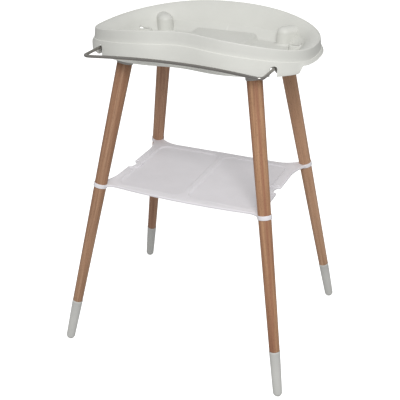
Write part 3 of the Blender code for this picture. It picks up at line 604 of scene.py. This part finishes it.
def make_washer(corner, material):
    low = RECESS_BOTTOM + GAP
    edge = 0.0004
    profile = [(BOLT_RADIUS + GAP, low), (WASHER_RADIUS, low)]
    profile += arc((WASHER_RADIUS - edge, low + WASHER - edge), edge, 0, 90, 3)
    profile.append((BOLT_RADIUS + GAP, low + WASHER))
    washer = new_object("washer_" + corner + "_pressed", turned(profile, 48), LEG_PLACES[corner])
    finish_piece(washer, "stand", "fastener_steel", material, "washer_" + corner)


# ---- shelf -----------------------------------------------------------------------------------------
def shelf_outline():
    """The shelf's edge: bowed front, straight sides, and arms that flare out to the four legs."""
    front_ring = leg_point("front_right", SHELF_RING_Z)
    back_ring = leg_point("back_right", SHELF_RING_Z)
    right = []
    right += bezier((0.0, -0.195), (0.110, -0.194), (0.196, -0.184), 16)
    right += bezier((0.196, -0.184), (0.222, -0.180), (front_ring.x - 0.009, front_ring.y - 0.014), 10)
    right += [(front_ring.x + 0.006, front_ring.y - 0.004)]
    right += bezier((front_ring.x + 0.015, front_ring.y + 0.006), (0.236, -0.150), (0.2345, -0.100), 16)
    right += [(0.2340, -0.048)]
    right += bezier((0.2330, -0.044), (0.2210, -0.044), (0.2210, -0.025), 10)
    right += bezier((0.2210, -0.025), (0.2210, -0.006), (0.2330, -0.006), 10)
    right += [(0.2340, -0.002)]
    right += bezier((0.2345, 0.090), (0.2345, 0.135), (back_ring.x + 0.015, back_ring.y - 0.006), 16)
    right += [(back_ring.x + 0.006, back_ring.y + 0.004)]
    right += bezier((back_ring.x - 0.009, back_ring.y + 0.014), (0.212, 0.166), (0.170, 0.162), 16)
    right += bezier((0.170, 0.162), (0.090, 0.162), (0.0, 0.163), 8)
    right += [(0.0, 0.163)]
    left = [(-x, y) for x, y in reversed(right[1:-1])]
    return right + left


def inset_ring(edge, inset):
    """The outline moved inwards by a distance, worked out corner by corner."""
    points = []
    count = len(edge)
    for index in range(count):
        before, here, after = Vector(edge[index - 1]), Vector(edge[index]), Vector(edge[(index + 1) % count])
        along = (here - before).normalized() + (after - here).normalized()
        inward = Vector((-along.y, along.x)).normalized()
        points.append(tuple(here + inward * inset))
    return points


def rounded_rectangle(x_range, y_range, radius):
    points = []
    left, right = x_range[0] + radius, x_range[1] - radius
    front, back = y_range[0] + radius, y_range[1] - radius
    corners = [(right, front, -90), (right, back, 0), (left, back, 90), (left, front, 180)]
    for x, y, start in corners:
        points += arc((x, y), radius, start, start + 90, 10)
    return points


def pocket_cutter(side):
    """A shallow pocket with soft sloping walls that round over at the top."""
    near, far = POCKET_X
    x_range = (near, far) if side > 0 else (-far, -near)
    levels = [(0.0060, SHELF_FLOOR), (0.0042, SHELF_FLOOR + 0.0003), (0.0024, SHELF_FLOOR + 0.0016),
              (0.0010, SHELF_FLOOR + 0.0030), (-0.0002, SHELF_TOP - 0.0008), (-0.0040, SHELF_TOP + 0.0060)]
    rings = []
    for inset, height in levels:
        xs = (x_range[0] + inset, x_range[1] - inset)
        ys = (POCKET_Y[0] + inset, POCKET_Y[1] - inset)
        rings.append(flat(rounded_rectangle(xs, ys, POCKET_CORNER - inset), height))
    return loft(rings)


def notch_tab(side):
    """The half-round raised rim inside each end notch of the shelf."""
    top = SHELF_TOP + 0.0015
    rings = []
    for inset, height in ((0.0, SHELF_FLOOR - 0.002), (0.0, top - 0.0008), (0.0008, top)):
        points = arc((TAB_X, TAB_Y), TAB_OUTER - inset, 90, 270, 24)
        points += arc((TAB_X, TAB_Y), TAB_INNER + inset, 270, 90, 24)
        rings.append([(side * x, y, height) for x, y in points])
    return loft(rings)


def make_shelf(material):
    edge = shelf_outline()
    round_over = 0.0022
    rings = [flat(inset_ring(edge, round_over), SHELF_BOTTOM)]
    rings += [flat(inset_ring(edge, round_over - grow), SHELF_BOTTOM + round_over + rise)
              for grow, rise in arc((0, 0), round_over, -60, 0, 3)]
    rings += [flat(inset_ring(edge, round_over - grow), SHELF_TOP - round_over + rise)
              for grow, rise in arc((0, 0), round_over, 0, 90, 5)]
    shelf = new_object("storage_shelf_moulding", loft(rings))
    combine(shelf, [new_object("cut", pocket_cutter(side)) for side in (-1, 1)], "DIFFERENCE")
    join, cut = [new_object("join", notch_tab(side)) for side in (-1, 1)], []
    for corner, _, _ in CORNERS:
        centre = leg_along(corner, SHELF_RING_Z)
        low, high = centre - 0.5 * RING_HEIGHT, centre + 0.5 * RING_HEIGHT
        outer = leg_radius(centre) + RING_WALL
        edge_round = 0.0010
        collar = [(0.0, low)] + arc((outer - edge_round, low + edge_round), edge_round, -90, 0, 4)
        collar += arc((outer - edge_round, high - edge_round), edge_round, 0, 90, 4) + [(0.0, high)]
        bore = [(0.0, low - 0.02), (leg_radius(low - 0.02) + GAP, low - 0.02),
                (leg_radius(high + 0.02) + GAP, high + 0.02), (0.0, high + 0.02)]
        join.append(new_object("join", on_leg(corner, turned(collar))))
        cut.append(new_object("cut", on_leg(corner, turned(bore))))
    combine(shelf, join, "UNION")
    combine(shelf, cut, "DIFFERENCE")
    finish_piece(shelf, "stand", "shelf_plastic", material, "storage_shelf")


# ---- towel rail -------------------------------------------------------------------------------------
def rounded_path(corners, steps=12):
    """Replace each corner (point, radius) of a path with an arc of short steps."""
    points = [Vector(corners[0][0])]
    for index in range(1, len(corners) - 1):
        before, here, after = (Vector(corners[k][0]) for k in (index - 1, index, index + 1))
        radius = corners[index][1]
        if radius == 0.0:
            points.append(here)
            continue
        into, out = (before - here).normalized(), (after - here).normalized()
        half = 0.5 * into.angle(out)
        centre = here + (into + out).normalized() * (radius / math.sin(half))
        first = here + into * (radius / math.tan(half)) - centre
        last = here + out * (radius / math.tan(half)) - centre
        swing = first.angle(last)
        for step in range(steps + 1):
            share = step / steps
            turn = first * math.sin((1 - share) * swing) + last * math.sin(share * swing)
            points.append(centre + turn / math.sin(swing))
    points.append(Vector(corners[-1][0]))
    return points


def swept(points, radius, sides):
    """A round bar along a path, its ends rounded over, with its straightened coordinates as 'grain'."""
    bm = bmesh.new()
    grain = bm.verts.layers.float_vector.new("grain")
    direction = (points[1] - points[0]).normalized()
    across = Vector((0, 1, 0))
    rows = []
    travelled = 0.0
    back = (points[-2] - points[-1]).normalized()
    tip_share, tip_length = 0.75, 0.0008    # how thin the very tip is, and how long its rounding is
    stations = [(points[0], tip_share), (points[0] + direction * tip_length, 1.0)]
    stations += [(point, 1.0) for point in points[1:-1]]
    stations += [(points[-1] + back * tip_length, 1.0), (points[-1], tip_share)]
    for index, (point, share) in enumerate(stations):
        before = (point - stations[index - 1][0]).normalized() if index else direction
        after = (stations[index + 1][0] - point).normalized() if index + 1 < len(stations) else before
        ahead = (before + after).normalized()
        across.rotate(direction.rotation_difference(ahead))
        direction = ahead
        up = direction.cross(across).normalized()
        travelled += (point - stations[index - 1][0]).length if index else 0.0
        row = []
        for side in range(sides):
            angle = 2.0 * math.pi * side / sides
            c, s = radius * share * math.cos(angle), radius * share * math.sin(angle)
            vertex = bm.verts.new(point + c * across + s * up)
            vertex[grain] = (travelled, c, s)
            row.append(vertex)
        rows.append(row)
    for low, high in zip(rows, rows[1:]):
        for side in range(sides):
            after = (side + 1) % sides
            bm.faces.new((low[side], low[after], high[after], high[side]))
    bm.faces.new(rows[0])
    bm.faces.new(rows[-1])
    return bm


def make_rail(material):
    """One bent bar: pins in the bushes, up, forward through the notches, and a bowed front."""
    reach = RAIL_ARM_X
    bend_y = RAIL_CENTRE_Y - RAIL_BOW
    half = [((RAIL_PIN_END, PIVOT.y, PIVOT.z), 0.0), ((reach, PIVOT.y, PIVOT.z), 0.0048),
            ((reach, PIVOT.y, RAIL_Z), 0.0075), ((reach, bend_y - 0.002, RAIL_Z), 0.012)]
    bow = []
    for step in range(17):
        x = 0.88 * reach * (1 - step / 16)
        bow.append(((x, RAIL_CENTRE_Y - RAIL_BOW * (x / RAIL_BOW_REACH) ** 2, RAIL_Z), 0.0))
    right = half + bow
    left = [((-point[0], point[1], point[2]), radius) for point, radius in reversed(right[:-1])]
    path = [point - PIVOT for point in rounded_path(right + left)]
    rail = new_object("towel_rail_bent", swept(path, RAIL_RADIUS, RAIL_SIDES), Matrix.Translation(PIVOT))
    finish_piece(rail, "rail", "rail_steel", material, "towel_rail")


# ---- materials ----------------------------------------------------------------------------------------
def new_material(name):
    material = bpy.data.materials.new(name)
    material.use_nodes = True
    return material, material.node_tree, material.node_tree.nodes["Principled BSDF"]


def add_node(tree, kind, settings=None, inputs=None):
    """Add a shader node. An input is a number, a colour or another node's output."""
    node = tree.nodes.new(kind)
    for name, value in (settings or {}).items():
        setattr(node, name, value)
    for name, value in (inputs or {}).items():
        if isinstance(value, bpy.types.NodeSocket):
            tree.links.new(value, node.inputs[name])
        else:
            node.inputs[name].default_value = value
    return node


def stretched(tree, source, scale, shift):
    """Coordinates stretched along each axis and shifted."""
    return add_node(tree, "ShaderNodeMapping", None, {
        "Vector": source, "Scale": scale, "Location": shift}).outputs[0]


def own_coordinates(tree, scale, shift=(0.0, 0.0, 0.0)):
    """The piece's own coordinates in metres, stretched along each axis."""
    return stretched(tree, add_node(tree, "ShaderNodeTexCoord").outputs["Object"], scale, shift)


def noise(tree, coordinates, detail=3.0, roughness=0.5):
    """Noise about 0.5, one unit of the coordinates across each patch."""
    return add_node(tree, "ShaderNodeTexNoise", None, {
        "Vector": coordinates, "Scale": 1.0, "Detail": detail, "Roughness": roughness}).outputs["Fac"]


def grain_coordinates(tree, scale, shift=(0.0, 0.0, 0.0)):
    """Where a point was before its bar was bent or its leg was leant over, stretched along each axis."""
    source = add_node(tree, "ShaderNodeAttribute", {"attribute_name": "grain"}).outputs["Vector"]
    return stretched(tree, source, scale, shift)


def ramp(tree, value, low, high, to_low=0.0, to_high=1.0):
    return add_node(tree, "ShaderNodeMapRange", None, {
        "Value": value, "From Min": low, "From Max": high,
        "To Min": to_low, "To Max": to_high}).outputs["Result"]


def mix_colours(tree, share, first, second):
    node = add_node(tree, "ShaderNodeMix", {"data_type": "RGBA"})
    for socket, value in ((node.inputs[0], share), (node.inputs[6], first), (node.inputs[7], second)):
        if isinstance(value, bpy.types.NodeSocket):
            tree.links.new(value, socket)
        elif isinstance(value, float):
            socket.default_value = value
        else:
            socket.default_value = (*value, 1.0)
    return node.outputs[2]


def add_bump(tree, shader, height, distance, strength=1.0):
    bump = add_node(tree, "ShaderNodeBump", None, {
        "Height": height, "Distance": distance, "Strength": strength})
    tree.links.new(bump.outputs["Normal"], shader.inputs["Normal"])


def tone(colour, share):
    return tuple(channel * share for channel in colour)


def moulded_plastic(name, colour, roughness, grain_mm=0.7):
    """Satin plastic: fine spark-eroded grain, faint clouding, and a painted highlight that makes sharp edges
    paler.
    """
    material, tree, shader = new_material(name)
    clouds = noise(tree, own_coordinates(tree, (14.0, 14.0, 14.0)), 3.0)
    base = mix_colours(tree, ramp(tree, clouds, 0.3, 0.7), tone(colour, 0.975), tone(colour, 1.02))
    # painted highlight: where the mesh is sharp, at edges and rims, the colour is made paler to stand in for the
    # light those edges catch
    edges = add_node(tree, "ShaderNodeNewGeometry").outputs["Pointiness"]
    painted_edge_highlight = ramp(tree, edges, 0.52, 0.58, 0.0, 0.55)
    base = mix_colours(tree, painted_edge_highlight, base, tone(colour, 1.13))
    tree.links.new(base, shader.inputs["Base Color"])
    scale = 1000.0 / grain_mm
    grain = noise(tree, own_coordinates(tree, (scale, scale, scale)), 2.0)
    add_bump(tree, shader, grain, 0.00004, 0.5)
    patches = noise(tree, own_coordinates(tree, (60.0, 60.0, 60.0)), 4.0)
    rough = ramp(tree, patches, 0.3, 0.7, roughness - 0.04, roughness + 0.05)
    tree.links.new(rough, shader.inputs["Roughness"])
    shader.inputs["Specular IOR Level"].default_value = 0.35
    return material


def beech(name, pale, dark, shift):
    """Oiled beech: long growth bands, fine lengthwise grain and the short dark flecks of the rays."""
    material, tree, shader = new_material(name)
    shift = (shift, 0.37 * shift, 0.11 * shift)
    bands = noise(tree, grain_coordinates(tree, (95.0, 60.0, 1.6), shift), 2.0)
    base = mix_colours(tree, ramp(tree, bands, 0.34, 0.66), dark, pale)
    streaks = noise(tree, grain_coordinates(tree, (420.0, 420.0, 7.0), shift), 5.0, 0.62)
    base = mix_colours(tree, ramp(tree, streaks, 0.42, 0.70, 0.0, 0.75), base, tone(dark, 0.72))
    flecks = noise(tree, grain_coordinates(tree, (1500.0, 1500.0, 170.0), shift), 1.0)
    base = mix_colours(tree, ramp(tree, flecks, 0.62, 0.70, 0.0, 0.7), base, tone(dark, 0.42))
    tree.links.new(base, shader.inputs["Base Color"])
    height = add_node(tree, "ShaderNodeMath", {"operation": "ADD"}, {0: streaks, 1: flecks}).outputs[0]
    add_bump(tree, shader, height, 0.00008, 0.5)
    tree.links.new(ramp(tree, streaks, 0.3, 0.7, 0.50, 0.66), shader.inputs["Roughness"])
    shader.inputs["Specular IOR Level"].default_value = 0.25
    return material


def drawn_steel(name, colour, roughness):
    """Drawn and brushed bar: lengthwise scratches that follow the bends."""
    material, tree, shader = new_material(name)
    scratches = noise(tree, grain_coordinates(tree, (16.0, 2600.0, 2600.0)), 4.0, 0.6)
    base = mix_colours(tree, ramp(tree, scratches, 0.35, 0.65), tone(colour, 0.86), tone(colour, 1.1))
    tree.links.new(base, shader.inputs["Base Color"])
    rough = ramp(tree, scratches, 0.3, 0.7, roughness - 0.06, roughness + 0.10)
    tree.links.new(rough, shader.inputs["Roughness"])
    add_bump(tree, shader, scratches, 0.00002, 0.4)
    shader.inputs["Metallic"].default_value = 1.0
    return material


def plated_metal(name, colour, roughness):
    """Small pressed or turned hardware with a faintly mottled plating."""
    material, tree, shader = new_material(name)
    mottle = noise(tree, own_coordinates(tree, (900.0, 900.0, 900.0)), 4.0, 0.6)
    base = mix_colours(tree, ramp(tree, mottle, 0.3, 0.7), tone(colour, 0.85), tone(colour, 1.12))
    tree.links.new(base, shader.inputs["Base Color"])
    rough = ramp(tree, mottle, 0.3, 0.7, roughness - 0.05, roughness + 0.12)
    tree.links.new(rough, shader.inputs["Roughness"])
    add_bump(tree, shader, mottle, 0.00003, 0.4)
    shader.inputs["Metallic"].default_value = 1.0
    return material


def dress_cad_node(node, material):
    """Give a CAD node that stays as it is a better material."""
    mesh = frame["nodes"][node].data
    mesh.materials.clear()
    mesh.materials.append(material)


# ---- studio ---------------------------------------------------------------------------------------------
def make_camera():
    data = bpy.data.cameras.new("camera")
    data.lens = CAMERA_LENS
    data.sensor_width = 36.0
    data.shift_x = CAMERA_SHIFT
    camera = bpy.data.objects.new("camera", data)
    camera.location = CAMERA_PLACE
    camera.rotation_euler = (math.radians(CAMERA_TILT), 0.0, math.radians(CAMERA_TURN))
    bpy.context.scene.collection.objects.link(camera)
    bpy.context.scene.camera = camera


def area_light(name, azimuth, elevation, distance, size, power):
    """A square softbox, placed round the tray: azimuth 0 is in front and 90 is to the right."""
    turn, rise = math.radians(azimuth), math.radians(elevation)
    target = Vector((0.0, 0.0, SURFACE_Z))
    back = Vector((math.sin(turn) * math.cos(rise), -math.cos(turn) * math.cos(rise), math.sin(rise)))
    data = bpy.data.lights.new(name, "AREA")
    data.shape = "SQUARE"
    data.size = size
    data.energy = power
    lamp = bpy.data.objects.new(name, data)
    lamp.location = target + back * distance
    lamp.rotation_euler = back.to_track_quat("Z", "Y").to_euler()
    bpy.context.scene.collection.objects.link(lamp)


def make_studio():
    world = bpy.data.worlds.new("studio")
    bpy.context.scene.world = world
    bpy.context.scene.view_settings.view_transform = "Standard"
    world.use_nodes = True
    tree = world.node_tree
    backdrop = tree.nodes["Background"]
    backdrop.inputs["Color"].default_value = (1.0, 1.0, 1.0, 1.0)
    seen = add_node(tree, "ShaderNodeLightPath").outputs["Is Camera Ray"]
    tree.links.new(ramp(tree, seen, 0.0, 1.0, WORLD_LIGHT, 1.0), backdrop.inputs["Strength"])
    bm = bmesh.new()
    bmesh.ops.create_grid(bm, x_segments=1, y_segments=1, size=40.0)
    floor = new_object("floor", bm)
    material, tree, shader = new_material("floor")
    shader.inputs["Base Color"].default_value = (FLOOR_TONE, FLOOR_TONE, FLOOR_TONE, 1.0)
    shader.inputs["Roughness"].default_value = 1.0
    shader.inputs["Specular IOR Level"].default_value = 0.0
    shader.inputs["Emission Color"].default_value = (1.0, 1.0, 1.0, 1.0)
    seen = add_node(tree, "ShaderNodeLightPath").outputs["Is Camera Ray"]
    tree.links.new(seen, shader.inputs["Emission Strength"])
    floor.data.materials.append(material)


# ---- the whole model --------------------------------------------------------------------------------------
TRAY_WHITE = (0.612, 0.614, 0.578)
SKIRT_WHITE = (0.655, 0.657, 0.618)
SHELF_WHITE = (0.780, 0.762, 0.790)
# the sockets' grey is partly their own colour and partly painted shade, set darker than the tray's white for the
# shade they sit in under the skirt
SOCKET_GREY_AND_SHADE = (0.400, 0.390, 0.365)
SLEEVE_WHITE = (0.590, 0.590, 0.565)
NYLON = (0.350, 0.350, 0.340)
# pale and dark wood for each leg, and how far its grain is shifted; the legs also differ in tone as painted light
# and shade, each leg's pair set paler or darker to match how brightly its place is lit
LEG_WOOD_AND_PAINTED_LIGHT = {
    "front_left": ((0.470, 0.285, 0.180), (0.340, 0.180, 0.105), 1.0),
    "front_right": ((0.500, 0.290, 0.165), (0.350, 0.165, 0.095), 5.0),
    "back_left": ((0.520, 0.315, 0.205), (0.370, 0.195, 0.125), 9.0),
    "back_right": ((0.590, 0.370, 0.240), (0.440, 0.250, 0.150), 13.0),
}


def main():
    make_camera()
    make_studio()
    area_light("key", 24.0, 37.0, 2.6, 1.3, 45.0)
    make_tray(moulded_plastic("tray_plastic", TRAY_WHITE, 0.42))
    make_skirt(moulded_plastic("skirt_plastic", SKIRT_WHITE, 0.42))
    make_shelf(moulded_plastic("shelf_plastic", SHELF_WHITE, 0.46))
    make_rail(drawn_steel("rail_steel", (0.33, 0.315, 0.295), 0.18))
    # the sockets' darker grey is partly painted shade
    socket_material = moulded_plastic("socket_plastic", SOCKET_GREY_AND_SHADE, 0.50)
    sleeve_material = moulded_plastic("sleeve_plastic", SLEEVE_WHITE, 0.45)
    fastener_material = plated_metal("fastener_steel", (0.55, 0.55, 0.53), 0.34)
    brass_material = plated_metal("insert_brass", (0.62, 0.46, 0.22), 0.32)
    for corner, _, _ in CORNERS:
        # each leg's wood tones carry painted light and shade for where that leg stands
        pale, dark, shift = LEG_WOOD_AND_PAINTED_LIGHT[corner]
        make_leg(corner, beech("beech_" + corner, pale, dark, shift))
        make_foot_sleeve(corner, sleeve_material)
        make_socket(corner, socket_material)
        make_bolt(corner, fastener_material)
        make_washer(corner, fastener_material)
        dress_cad_node("leg_insert_" + corner, brass_material)
    nylon_material = moulded_plastic("bush_nylon", NYLON, 0.50)
    for side in ("left", "right"):
        dress_cad_node("rail_bush_" + side, nylon_material)


main()
